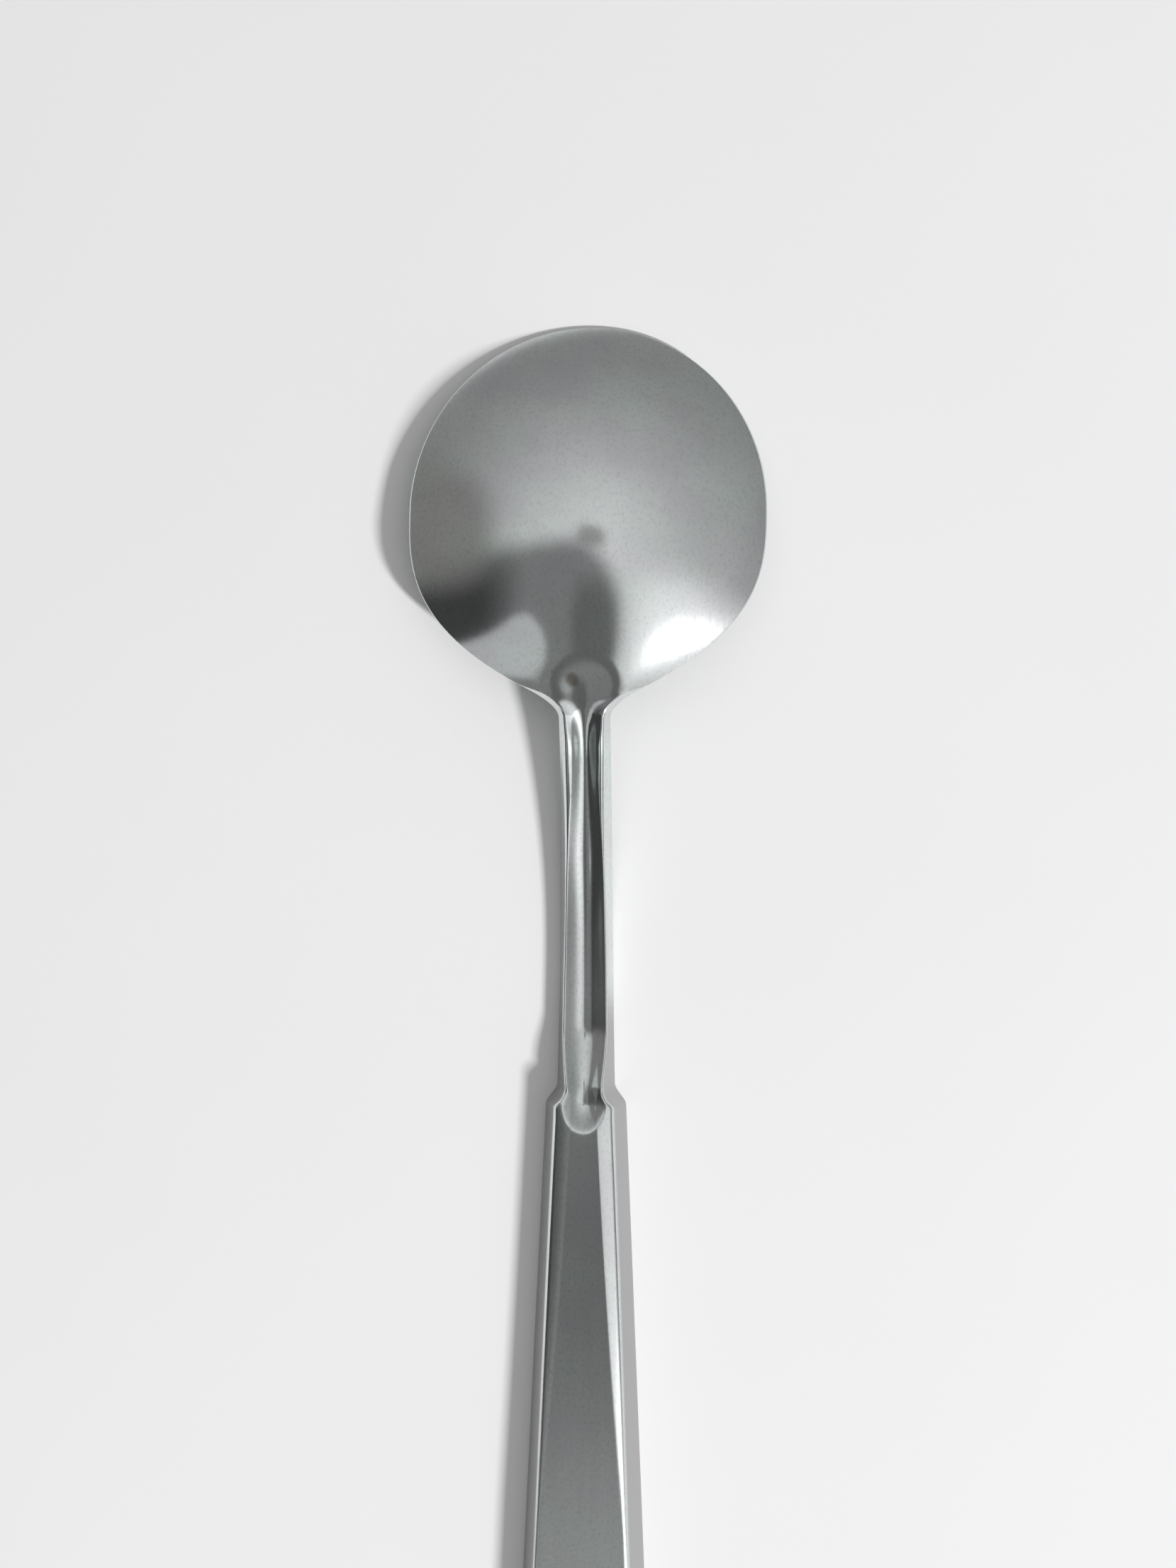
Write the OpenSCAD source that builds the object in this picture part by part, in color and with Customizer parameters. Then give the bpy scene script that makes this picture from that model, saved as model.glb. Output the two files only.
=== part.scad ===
// Soup spoon pressed from one sheet of stainless steel.
// It lies face down, as it is put to dry: the back of the bowl is up, and it
// rests on the tip of the rim and on the turned-down edges of the handle.
// +Y points to the tip, +Z is up, and the origin lies on the table below the
// middle of the spoon. "u" is the distance from the tip towards the handle.

/* [Sheet] */
// Thickness of the steel sheet
sheet_t = 0.8; // [0.6:0.1:1]
// Slope of the turned-down edges of the neck and handle, in degrees
flange_angle = 72; // [66:1:76]
// Softness of the folded corner along neck and handle
fold_blend = 1.0; // [0.6:0.1:1.6]

/* [Bowl] */
// Width of the bowl across its rim
bowl_width = 52.5; // [46:0.5:58]
// Distance from the tip to the widest place of the bowl
bowl_tip_length = 27.9; // [24:0.1:32]
// Distance from the widest place to the heel of the bowl
bowl_heel_length = 26.6; // [24:0.1:30]
// Height of the bowl's back above the plane of its rim
bowl_depth = 10.5; // [8:0.5:12]
// Fullness of the bowl's back: near 1 is a half ball, higher is flatter
bowl_fullness = 1.4; // [1.25:0.05:2]
// Rise of the rim from tip to heel, in degrees
rim_tilt = 8; // [6:0.5:10]

/* [Neck] */
// Width of the neck over its turned-down edges
neck_width = 7.9; // [7:0.1:9]
// Length of the neck between the bowl and the handle's shoulders
neck_length = 57.3; // [50:0.5:70]
// Radius in the corner between the bowl's rim and the neck
heel_fillet_r = 5.2; // [4:0.1:7]
// Height of the neck's two ridges above the table at their lowest
neck_low_z = 3.7; // [3.4:0.1:4.4]
// Depth of the scoop where the neck's groove starts in the bowl's back
scoop_depth = 2; // [1.5:0.1:2.4]
// Reach of the scoop into the bowl's back
scoop_length = 5.7; // [4.5:0.1:7]
// Depth of the groove along the neck
groove_depth = 1.6; // [1.2:0.1:1.8]
// Distance from the bowl to the rounded start of the groove's bead
bead_start = 3.8; // [3:0.1:6]

/* [Handle] */
// Length of the handle from its shoulders to its end
handle_length = 88.2; // [70:0.5:110]
// Width of the handle at its shoulders
shoulder_width = 11.3; // [10:0.1:13]
// Width that the handle has grown to at its end
end_width = 20.8; // [17:0.1:24]
// Length over which the shoulders swing out from the neck
shoulder_length = 5.6; // [4:0.1:8]
// Height of the handle's flat panel above the table
handle_height = 5.4; // [5:0.1:6.4]
// Width of the bevel between the flat panel and the fold
bevel_width = 2.8; // [2:0.1:3.2]
// Drop of the bevel at the shoulders
bevel_drop = 0.85; // [0.5:0.05:1]
// Drop of the bevel at the end of the handle
bevel_end_drop = 0.35; // [0.2:0.05:0.5]
// Half width of the groove's round end in the handle
runout_half_width = 3.1; // [2.6:0.1:3.4]
// Length of the groove's round end in the handle
runout_length = 4.8; // [3.5:0.1:6]
// Length of the rounded end of the handle
end_length = 11; // [8:0.5:16]
// Squareness of the rounded end: 2 is an ellipse
end_squareness = 2.5; // [2:0.1:3.5]

/* [Hidden] */
steel = [0.67, 0.69, 0.69];

bowl_length = bowl_tip_length + bowl_heel_length;
handle_start = bowl_length + neck_length;
spoon_length = handle_start + handle_length;
end_start = spoon_length - end_length;
bowl_half = bowl_width / 2;
neck_half = neck_width / 2;
wall_slope = tan(flange_angle);
// How far the lower corner of the cut edge stands inside the upper one
edge_inset = sheet_t * sin(flange_angle);
// Height of the upper corner of the cut edge when the lower one is on the table
edge_rest_z = sheet_t * cos(flange_angle);

// Lengths of the changes along the neck, from the bowl's end
throat = 2.6;
ridge_fall = 42;
edge_fall = 49;
scoop_fade = 25;
bead_round = 2.4;
bead_ledge = 1.1;
bead_first_share = 0.35;

// Columns across the sheet: this many inside the fold line and beyond it
INNER_COLUMNS = 10;
OUTER_COLUMNS = 4;
STEP = 0.02;

// ---- Small helpers ----

function unit(v) = min(1, max(0, v));
function ease(from, to, v) = let (t = unit((v - from) / (to - from))) t * t * (3 - 2 * t);
function mix(a, b, share) = a + (b - a) * share;
function soft_min(a, b, k) = min(a, b) - pow(max(k - abs(a - b), 0), 2) / (4 * k);
function soft_max(a, b, k) = -soft_min(-a, -b, k);
function steps(from, to, count) = [for (i = [0:count]) from + (to - from) * i / count];

// ---- Outline, seen from above ----

// The arc in the corner touches both the bowl's ellipse and the neck's side:
// its angle is where this gap is nothing.
function corner_gap(a) =
    let (turn = atan(bowl_half / bowl_heel_length * tan(a)))
    bowl_half * sin(turn) - neck_half - heel_fillet_r * (1 - sin(a));
function corner_angle(low, high, rounds) =
    let (mid = (low + high) / 2)
    rounds == 0 ? mid
    : corner_gap(mid) > 0 ? corner_angle(low, mid, rounds - 1)
    : corner_angle(mid, high, rounds - 1);
corner_a = corner_angle(0, 60, 30);
corner_turn = atan(bowl_half / bowl_heel_length * tan(corner_a));
corner_start = bowl_tip_length + bowl_heel_length * cos(corner_turn);
corner_centre = corner_start + heel_fillet_r * cos(corner_a);

function reach(u) = u < bowl_tip_length ? bowl_tip_length : bowl_heel_length;
function bowl_outline(u) =
    bowl_half * sqrt(max(0, 1 - pow((u - bowl_tip_length) / reach(u), 2)));
function corner_outline(u) =
    neck_half + heel_fillet_r - sqrt(max(0, pow(heel_fillet_r, 2) - pow(u - corner_centre, 2)));
function taper(u) = mix(shoulder_width, end_width, (u - handle_start) / handle_length) / 2;
function end_curve(share) = pow(max(0, 1 - pow(share, end_squareness)), 1 / end_squareness);
function outline(u) =
    u < corner_start ? bowl_outline(u)
    : u < corner_centre ? corner_outline(u)
    : u < handle_start ? neck_half
    : u < end_start ? mix(neck_half, taper(u), sin(90 * unit((u - handle_start) / shoulder_length)))
    : taper(u) * end_curve((u - end_start) / end_length);
function outline_slope(u) = (outline(u + STEP) - outline(u - STEP)) / (2 * STEP);

// Distance from a place on the sheet to the outline
function inside(u, x) =
    u < end_start ? (outline(u) - abs(x)) / sqrt(1 + pow(outline_slope(u), 2))
    : let (
        along = u - end_start,
        r = pow(pow(abs(x) / taper(u), end_squareness) + pow(along / end_length, end_squareness),
            1 / end_squareness)
    ) r < 0.01 ? end_length : norm([x, along]) * (1 / r - 1);

// ---- Side view: heights of the rim, the ridges and the cut edge ----

// The back of the bowl is a ball's cap, drawn out to the oval outline
cap_base = sqrt(pow(bowl_fullness, 2) - 1);
function cap(r) = (sqrt(max(0, pow(bowl_fullness, 2) - r * r)) - cap_base) / (bowl_fullness - cap_base);
function cap_slope(r) = r / sqrt(pow(bowl_fullness, 2) - r * r) / (bowl_fullness - cap_base);

// The rim starts at the height that sets the tip's lower corner on the table
tip_r = 1 - edge_inset / bowl_tip_length;
tip_slope = tan(rim_tilt) + bowl_depth * cap_slope(tip_r) / bowl_tip_length;
tip_z = sheet_t * norm([1, tip_slope]) - edge_inset * tan(rim_tilt) - bowl_depth * cap(tip_r);
function rim_z(u) = tip_z + u * tan(rim_tilt);

throat_u = bowl_length + throat;
throat_z = rim_z(throat_u);
function ridge_curve(u) =
    let (left = max(0, 1 - (u - throat_u) / ridge_fall))
    neck_low_z + (throat_z - neck_low_z) * left * left;
function edge_curve(u) =
    let (left = max(0, 1 - (u - throat_u) / edge_fall))
    edge_rest_z + (throat_z - edge_rest_z) * pow(left, 2.5);
function fold_z(u) =
    handle_height - mix(bevel_drop, bevel_end_drop, unit((u - handle_start) / handle_length));
function swing(u) = ease(handle_start - 5, handle_start + shoulder_length, u);
function ridge_z(u) = mix(soft_min(rim_z(u), ridge_curve(u), 0.8), fold_z(u), swing(u));
function edge_z(u) = soft_min(rim_z(u), edge_curve(u), 0.4);

// Half width between the neck's ridges, or between the handle's folds
function flange_height(u) = max(0, ridge_z(u) - edge_z(u));
function fold_half(u) = outline(u) - flange_height(u) / wall_slope;

// ---- The pressed shapes ----

function dome(u, x) =
    rim_z(u) + bowl_depth * cap(norm([x / bowl_half, (u - bowl_tip_length) / reach(u)]));

// Scoop: the groove's wide round start in the bowl's back
function scoop(u, x) =
    let (
        q = u < bowl_length
            ? norm([x / fold_half(bowl_length), (bowl_length - u) / scoop_length])
            : x / fold_half(u),
        depth = scoop_depth * (1 - 0.9 * ease(bowl_length, bowl_length + scoop_fade, u))
    ) depth * max(0, 1 - q * q);

// Groove: a bead with a rounded start, which runs out round in the handle
groove_start = bowl_length + bead_start + bead_round;
groove_end = handle_start + 2.2;
function groove_half(u) =
    min(fold_half(u), runout_half_width) - bead_ledge * (1 - ease(groove_start, groove_start + 25, u));
function groove(u, x) =
    let (
        past = u < groove_start ? (groove_start - u) / bead_round
            : u > groove_end ? (u - groove_end) / runout_length : 0,
        q = norm([x / groove_half(u), past]),
        grown = mix(bead_first_share, 1, ease(groove_start, groove_start + 18, u)),
        deeper = (handle_height - neck_low_z) * 0.5 * swing(u)
    ) (groove_depth * grown + deeper) * pow(max(0, 1 - q * q), 1.2);

// Flat panel of the handle with a bevel down to the fold on each side
function panel(u, x) =
    let (
        fold_inside = (fold_z(u) - edge_z(u)) / wall_slope,
        down = unit((fold_inside + bevel_width - inside(u, x)) / bevel_width)
    ) handle_height - (handle_height - fold_z(u)) * pow(down, 1.4);

function heel_blend(u, x) = 0.01 + 1.4 * ease(47, bowl_length, u) * (1 - ease(5, 9, abs(x)));
function pressed(u, x) =
    mix(soft_max(dome(u, x), ridge_z(u), heel_blend(u, x)), panel(u, x), swing(u))
    - scoop(u, x) - groove(u, x);
function wall(u, x) = edge_z(u) + wall_slope * inside(u, x);
function corner_blend(u) = max(0.01, min(fold_blend, flange_height(u) / 2));

// Height of the upper and the lower face of the sheet
function upper(u, x) = soft_min(pressed(u, x), wall(u, x), corner_blend(u));
function steepness(u, x) =
    norm([
        1,
        (pressed(u, x + STEP) - pressed(u, x - STEP)) / (2 * STEP),
        (pressed(u + STEP, x) - pressed(u - STEP, x)) / (2 * STEP)
    ]);
function lower(u, x) =
    soft_min(
        pressed(u, x) - sheet_t * steepness(u, x),
        wall(u, x) - sheet_t * norm([1, wall_slope]),
        corner_blend(u) / 2
    );

// ---- From the shapes to solids ----

COLUMNS = INNER_COLUMNS + OUTER_COLUMNS;
function column_x(j, fold, edge) =
    let (
        a = abs(j),
        x = a <= INNER_COLUMNS ? fold * a / INNER_COLUMNS
            : mix(fold, edge, (a - INNER_COLUMNS) / OUTER_COLUMNS)
    ) sign(j) * x;

function upper_point(u, j) =
    let (
        edge = outline(u),
        x = column_x(j, min(fold_half(u), 0.86 * edge), edge)
    ) [x, spoon_length / 2 - u, upper(u, x)];

// The lower face stands back from the outline by the edge's inset
function inset_u(u) =
    u < bowl_tip_length ? bowl_tip_length - (bowl_tip_length - u) * (1 - edge_inset / bowl_tip_length)
    : u > end_start ? end_start + (u - end_start) * (1 - edge_inset / end_length)
    : u;
function inset_outline(u) =
    u < bowl_tip_length ? outline(u) * (1 - edge_inset / bowl_half)
    : u > end_start ? outline(u) * (1 - edge_inset / taper(u))
    : outline(u) - edge_inset * norm([1, outline_slope(u)]);
function lower_point(u, j) =
    let (
        edge = inset_outline(u),
        v = inset_u(u),
        x = column_x(j, min(fold_half(u) - sheet_t / 2, 0.86 * edge), edge)
    ) [x, spoon_length / 2 - v, lower(v, x)];

function quad(a, b, c, d) = [[a, b, c], [a, c, d]];

// Closed solid of the sheet between its first and last station
module sheet_between(stations) {
    rows = len(stations);
    across = 2 * COLUMNS + 1;
    under = rows * across;
    last = rows - 1;
    points = concat(
        [for (u = stations) for (j = [-COLUMNS:COLUMNS]) upper_point(u, j)],
        [for (u = stations) for (j = [-COLUMNS:COLUMNS]) lower_point(u, j)]
    );
    faces = [
        for (i = [0:last - 1]) for (j = [0:across - 2])
            let (p = i * across + j, q = p + across)
            each concat(quad(p, p + 1, q + 1, q), quad(under + p, under + q, under + q + 1, under + p + 1)),
        for (i = [0:last - 1])
            let (p = i * across, q = p + across, r = p + across - 1, s = r + across)
            each concat(quad(p, q, under + q, under + p), quad(r, under + r, under + s, s)),
        for (j = [0:across - 2])
            let (p = j, q = last * across + j)
            each concat(quad(p, under + p, under + p + 1, p + 1), quad(q, q + 1, under + q + 1, under + q))
    ];
    polyhedron(points = points, faces = faces, convexity = 6);
}

// Places along the spoon where the named parts of the sheet meet
heel_u = bowl_length - 9;
neck_u = throat_u;
handle_u = handle_start - 1;
end_u = end_start - 2;

module bowl() {
    quarter = [for (a = [2.5:7.5:85]) bowl_tip_length * (1 - cos(a))];
    color(steel) sheet_between(concat(quarter, steps(bowl_tip_length, heel_u, 9)));
}

module heel() {
    color(steel) sheet_between(steps(heel_u, neck_u, 14));
}

module neck() {
    start = steps(neck_u, neck_u + 12, 10);
    rest = steps(neck_u + 12, handle_u, 18);
    color(steel) sheet_between(concat(start, [for (i = [1:len(rest) - 1]) rest[i]]));
}

module handle() {
    shoulder = steps(handle_u, groove_end + runout_length, 14);
    rest = steps(groove_end + runout_length, end_u, 5);
    color(steel) sheet_between(concat(shoulder, [for (i = [1:len(rest) - 1]) rest[i]]));
}

module handle_end() {
    round = [for (a = [90:-7.5:3]) end_start + end_length * cos(a)];
    color(steel) sheet_between(concat([end_u], round));
}

bowl();
heel();
neck();
handle();
handle_end();
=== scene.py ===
"""A soup spoon pressed from one sheet of steel, dressed and lit as it lies face down on a pale table.

The sheet's shape follows rules of the same kind as the frame's solids, with sizes of its own that differ
a little from theirs. A Geometry Nodes tree draws it finely, once for each named zone of the sheet, and each
zone stands for the frame's node of that name. The zones meet within 3 mm of where those nodes meet.
Lengths of the spoon are in millimetres, and everything that Blender holds is in metres.
"""

import enum
import logging
import math
from collections.abc import Callable
from dataclasses import dataclass, field, fields

import bpy
import numpy as np
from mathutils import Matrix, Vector


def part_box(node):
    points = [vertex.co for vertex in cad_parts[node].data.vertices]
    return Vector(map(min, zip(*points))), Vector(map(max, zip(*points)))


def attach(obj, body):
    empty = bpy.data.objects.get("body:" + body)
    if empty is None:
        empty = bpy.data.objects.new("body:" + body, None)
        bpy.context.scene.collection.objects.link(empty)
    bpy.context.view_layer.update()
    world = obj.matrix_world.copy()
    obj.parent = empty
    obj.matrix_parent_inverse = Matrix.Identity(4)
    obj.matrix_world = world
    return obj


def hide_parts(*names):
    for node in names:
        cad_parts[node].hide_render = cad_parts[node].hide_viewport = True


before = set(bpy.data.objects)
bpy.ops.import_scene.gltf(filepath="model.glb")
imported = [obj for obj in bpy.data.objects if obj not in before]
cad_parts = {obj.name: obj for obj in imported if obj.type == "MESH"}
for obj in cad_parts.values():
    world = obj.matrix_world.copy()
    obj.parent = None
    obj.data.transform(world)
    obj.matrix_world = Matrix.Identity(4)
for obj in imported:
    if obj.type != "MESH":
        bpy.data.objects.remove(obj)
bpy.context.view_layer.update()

MM = 0.001
Triple = tuple[float, float, float]
Step = tuple[float, float]
Colour = tuple[float, float, float, float]
log = logging.getLogger("soup_spoon")


def length_of(node: str, axis: int) -> float:
    """Length of a frame node along an axis, in millimetres."""
    low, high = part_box(node)
    return (high[axis] - low[axis]) / MM


# ---- Numbers that Geometry Nodes work out -------------------------------------------------


class Term:
    """A number in a node tree, on which Python's arithmetic adds Math nodes."""

    def __init__(self, tree: bpy.types.NodeTree, socket: bpy.types.NodeSocket) -> None:
        """Hold the tree and the socket that gives the number."""
        self.tree = tree
        self.socket = socket

    def math(self, operation: str, *others: "Term | float") -> "Term":
        """Add one Math node.

        Args:
            operation: the node's operation.
            others: what goes into its other sockets.

        Returns:
            The node's result.
        """
        return math_node(self.tree, operation, self, *others)

    def __add__(self, other: "Term | float") -> "Term":
        """Sum."""
        return self.math("ADD", other)

    def __sub__(self, other: "Term | float") -> "Term":
        """Difference."""
        return self.math("SUBTRACT", other)

    def __mul__(self, other: "Term | float") -> "Term":
        """Product."""
        return self.math("MULTIPLY", other)

    def __truediv__(self, other: "Term | float") -> "Term":
        """Quotient."""
        return self.math("DIVIDE", other)

    def __pow__(self, other: "Term | float") -> "Term":
        """Power."""
        return self.math("POWER", other)

    def __radd__(self, other: float) -> "Term":
        """Sum with a plain number."""
        return self.math("ADD", other)

    def __rmul__(self, other: float) -> "Term":
        """Product with a plain number."""
        return self.math("MULTIPLY", other)

    def __rsub__(self, other: float) -> "Term":
        """A plain number less this one."""
        return math_node(self.tree, "SUBTRACT", other, self)

    def __rtruediv__(self, other: float) -> "Term":
        """A plain number over this one."""
        return math_node(self.tree, "DIVIDE", other, self)

    def __neg__(self) -> "Term":
        """The number with its sign changed."""
        return self * -1.0


def math_node(tree: bpy.types.NodeTree, operation: str, *values: "Term | float") -> Term:
    """Add a Math node.

    Args:
        tree: the tree that gets the node.
        operation: the node's operation.
        values: what goes into its sockets, in order.

    Returns:
        The node's result.
    """
    node = tree.nodes.new("ShaderNodeMath")
    node.operation = operation
    for socket, value in zip(node.inputs, values):
        if isinstance(value, Term):
            tree.links.new(value.socket, socket)
        else:
            socket.default_value = float(value)
    return Term(tree, node.outputs[0])


def least(a: Term, b: "Term | float") -> Term:
    """The smaller of two numbers."""
    return a.math("MINIMUM", b)


def most(a: Term, b: "Term | float") -> Term:
    """The larger of two numbers."""
    return a.math("MAXIMUM", b)


def size(a: Term) -> Term:
    """A number without its sign."""
    return a.math("ABSOLUTE")


def root(a: Term) -> Term:
    """Square root, which is nothing below zero."""
    return most(a, 0.0).math("SQRT")


def span(*sides: "Term | float") -> Term:
    """Length of a line.

    Args:
        sides: how far the line runs along each axis.

    Returns:
        The square root of the sum of their squares.
    """
    total = None
    for side in sides:
        square = side * side
        total = square if total is None else total + square
    return root(total)


def unit(a: Term) -> Term:
    """A number held between 0 and 1."""
    return least(most(a, 0.0), 1.0)


def ease(start: "Term | float", stop: "Term | float", a: Term) -> Term:
    """Smooth step from 0 at start to 1 at stop."""
    share = unit((a - start) / (stop - start))
    return share * share * (3.0 - 2.0 * share)


def mix(a: "Term | float", b: "Term | float", share: Term) -> Term:
    """Blend from a to b by a share."""
    return (b - a) * share + a


def choose(test: Term, yes: Term, no: Term) -> Term:
    """One number where a test holds and another where it doesn't.

    Args:
        test: 1 where the test holds, otherwise 0.
        yes: the number where it holds.
        no: the number where it doesn't.

    Returns:
        The chosen number.
    """
    node = test.tree.nodes.new("GeometryNodeSwitch")
    node.input_type = "FLOAT"
    test.tree.links.new(test.socket, node.inputs["Switch"])
    test.tree.links.new(no.socket, node.inputs["False"])
    test.tree.links.new(yes.socket, node.inputs["True"])
    return Term(test.tree, node.outputs[0])


def below(a: Term, b: "Term | float") -> Term:
    """1 where a is less than b, otherwise 0."""
    return a.math("LESS_THAN", b)


def soft_least(a: Term, b: Term, blend: "Term | float") -> Term:
    """The smaller of two heights, rounded where they cross."""
    near = most(blend - size(a - b), 0.0)
    return least(a, b) - near * near / (blend * 4.0)


def soft_most(a: Term, b: Term, blend: "Term | float") -> Term:
    """The larger of two heights, rounded where they cross."""
    return -soft_least(-a, -b, blend)


# ---- The pressed form ---------------------------------------------------------------------


@dataclass
class SheetSizes:
    """Sizes of the pressed sheet: lengths in millimetres, slopes as rise over run, shares and powers."""

    sheet: float = 0.8
    flange_slope: float = math.tan(math.radians(68))
    neck_flange_slope: float = math.tan(math.radians(74))
    heel_flange_slope: float = math.tan(math.radians(62))
    flange_turn: float = 45.0
    fold_blend: float = 1.0
    bowl_half: float = field(default_factory=lambda: length_of("bowl", 0) / 2)
    bowl_tip: float = 27.5
    bowl_heel: float = 30.0
    heel_power: float = 2.87
    heel_corner: float = 4.8
    bowl_depth: float = 10.1
    bowl_power: float = 1.8
    rim_rise: float = math.tan(math.radians(8))
    neck_half: float = 3.8
    neck_end_half: float = 4.3
    neck_length: float = 54.1
    neck_narrow: float = 12.0
    neck_low: float = 3.0
    scoop_depth: float = 1.5
    scoop_length: float = 5.8
    scoop_half: float = 6.3
    scoop_back: float = 3.5
    scoop_fade: float = 25.0
    scoop_softness: float = 2.6
    scoop_merge: float = 8.0
    groove_depth: float = 1.6
    groove_softness: float = 1.2
    groove_bend: float = 1.0
    bead_start: float = -1.0
    bead_round: float = 2.4
    bead_ledge: float = 1.0
    bead_ledge_fade: float = 25.0
    bead_first_share: float = 0.22
    bead_grow: float = 30.0
    handle_length: float = 88.4
    shoulder_half: float = 5.85
    end_half: float = 9.75
    shoulder_length: float = 3.2
    handle_height: float = 5.4
    bevel_width: float = 2.4
    bevel_end_width: float = 0.4
    bevel_drop: float = 0.75
    bevel_end_drop: float = 0.1
    bevel_run: float = 66.0
    bevel_softness: float = 1.2
    runout_half: float = 3.3
    runout_length: float = 4.2
    runout_start: float = 2.6
    runout_share: float = 0.2
    runout_softness: float = 1.5
    end_length: float = 11.0
    end_power: float = 2.5
    ridge_before: float = 1.0
    ridge_fall: float = 41.0
    ridge_bend: float = 0.8
    edge_before: float = 4.0
    edge_fall: float = 40.0
    edge_power: float = 2.0
    edge_bend: float = 0.4
    rise_before: float = 8.5
    rise_after: float = 5.6
    heel_soft: float = 1.4
    heel_soft_length: float = 8.0
    heel_soft_in: float = 5.0
    heel_soft_out: float = 9.0
    tip_height: float = 0.0

    def __post_init__(self) -> None:
        """Work out the height of the tip."""
        self.tip_height = self.height_of_tip()

    @property
    def overall(self) -> float:
        """Length of the spoon."""
        return self.bowl_tip + self.bowl_heel + self.neck_length + self.handle_length

    def height_of_tip(self) -> float:
        """Height of the rim's upper corner at the tip, with the lower one on the table."""
        inset = self.sheet * self.heel_flange_slope / math.hypot(1, self.heel_flange_slope)
        r = 1 - inset / self.bowl_tip
        slope = self.rim_rise + self.bowl_depth * self.bowl_power * r ** (self.bowl_power - 1) / self.bowl_tip
        cap = 1 - r**self.bowl_power
        return self.sheet * math.hypot(1, slope) - inset * self.rim_rise - self.bowl_depth * cap


class PressedForm:
    """Heights and outline of the sheet as terms of a node tree."""

    NUDGE = 0.02
    TINY = 0.01

    def __init__(self, inputs: dict[str, Term], heights: "RuleTree | None" = None) -> None:
        """Take the sizes from the tree's inputs.

        Args:
            inputs: a term for each size of the sheet.
            heights: the node group that gives the pressed height, where the tree uses one.
        """
        self.s = inputs
        self.heights = heights
        self.known: dict[tuple, Term] = {}
        s = inputs
        self.bowl_length = s["bowl_tip"] + s["bowl_heel"]
        self.handle_start = self.bowl_length + s["neck_length"]
        self.overall = self.handle_start + s["handle_length"]
        self.end_start = self.overall - s["end_length"]
        self.narrow_u = self.bowl_length + s["neck_narrow"]
        self.ridge_u = self.bowl_length - s["ridge_before"]
        self.edge_u = self.bowl_length - s["edge_before"]
        self.scoop_u = self.bowl_length - s["scoop_back"]
        self.groove_start = self.bowl_length + s["bead_start"] + s["bead_round"]
        self.groove_end = self.handle_start + s["runout_start"]

    def once(self, name: str, u: Term, make: Callable[[], Term]) -> Term:
        """Make a term of u a single time, because many rules share it."""
        key = (name, u.socket.node.name, u.socket.name)
        if key not in self.known:
            self.known[key] = make()
        return self.known[key]

    def bowl_share(self, u: Term) -> Term:
        """Distance from the bowl's widest place, as a share of the half of the bowl in which u lies."""
        return self.once("share", u, lambda: self.make_bowl_share(u))

    def make_bowl_share(self, u: Term) -> Term:
        """The share, towards the tip before the widest place and towards the heel behind it."""
        tip, heel = self.s["bowl_tip"], self.s["bowl_heel"]
        return choose(below(u, tip), (tip - u) / tip, most(u - tip, 0.0) / heel)

    def neck_side(self, u: Term) -> Term:
        """Half width of the neck, which widens towards the handle."""
        along = unit((u - self.narrow_u) / (self.handle_start - self.narrow_u))
        return mix(self.s["neck_half"], self.s["neck_end_half"], along * along)

    def taper(self, u: Term) -> Term:
        """Half width of the tapering handle."""
        s = self.s
        return mix(s["shoulder_half"], s["end_half"], (u - self.handle_start) / s["handle_length"])

    def outline(self, u: Term) -> Term:
        """Half width of the sheet at u."""
        return self.once("outline", u, lambda: self.make_outline(u))

    def make_outline(self, u: Term) -> Term:
        """Half width of the sheet: round tip, heel and neck, shoulders and taper, rounded end."""
        s = self.s
        share, neck = self.bowl_share(u), self.neck_side(u)
        tip = s["bowl_half"] * root(1.0 - share * share)
        heel = soft_most(s["bowl_half"] * (1.0 - share ** s["heel_power"]), neck, s["heel_corner"])
        shoulder = ease(self.handle_start, self.handle_start + s["shoulder_length"], u)
        handle = mix(neck, self.taper(u), shoulder)
        left = unit((u - self.end_start) / s["end_length"])
        end = self.taper(u) * most(1.0 - left ** s["end_power"], 0.0) ** (1.0 / s["end_power"])
        body = choose(below(u, self.narrow_u), heel, handle)
        body = choose(below(u, s["bowl_tip"]), tip, body)
        return choose(below(u, self.end_start), body, end)

    def outline_slope(self, u: Term) -> Term:
        """Growth of the half width along u."""
        step = self.NUDGE
        return self.once("slope", u, lambda: (self.outline(u + step) - self.outline(u - step)) / (2 * step))

    def inside(self, u: Term, x: Term) -> Term:
        """Distance from a place on the sheet to its outline."""
        s = self.s
        side = (self.outline(u) - size(x)) / span(self.outline_slope(u), 1.0)
        along = most(u - self.end_start, 0.0)
        power = s["end_power"]
        r = ((size(x) / self.taper(u)) ** power + (along / s["end_length"]) ** power) ** (1.0 / power)
        end = span(x, along) * (1.0 / most(r, self.TINY) - 1.0)
        end = choose(below(r, self.TINY), s["end_length"], end)
        return choose(below(u, self.end_start), side, end)

    def swing(self, u: Term) -> Term:
        """Share of the handle's shape in the sheet's shape, from the neck to the shoulders."""
        start, stop = self.handle_start - self.s["rise_before"], self.handle_start + self.s["rise_after"]
        return self.once("swing", u, lambda: ease(start, stop, u))

    def wall_slope(self, u: Term) -> Term:
        """Slope of the turned-down edge."""
        return self.once("wall", u, lambda: self.make_wall_slope(u))

    def make_wall_slope(self, u: Term) -> Term:
        """Slope of the turned-down edge, from the bowl to the neck and on to the handle."""
        s = self.s
        turn = ease(self.edge_u, self.edge_u + s["flange_turn"], u)
        neck = mix(s["heel_flange_slope"], s["neck_flange_slope"], turn)
        return mix(neck, s["flange_slope"], self.swing(u))

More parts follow.
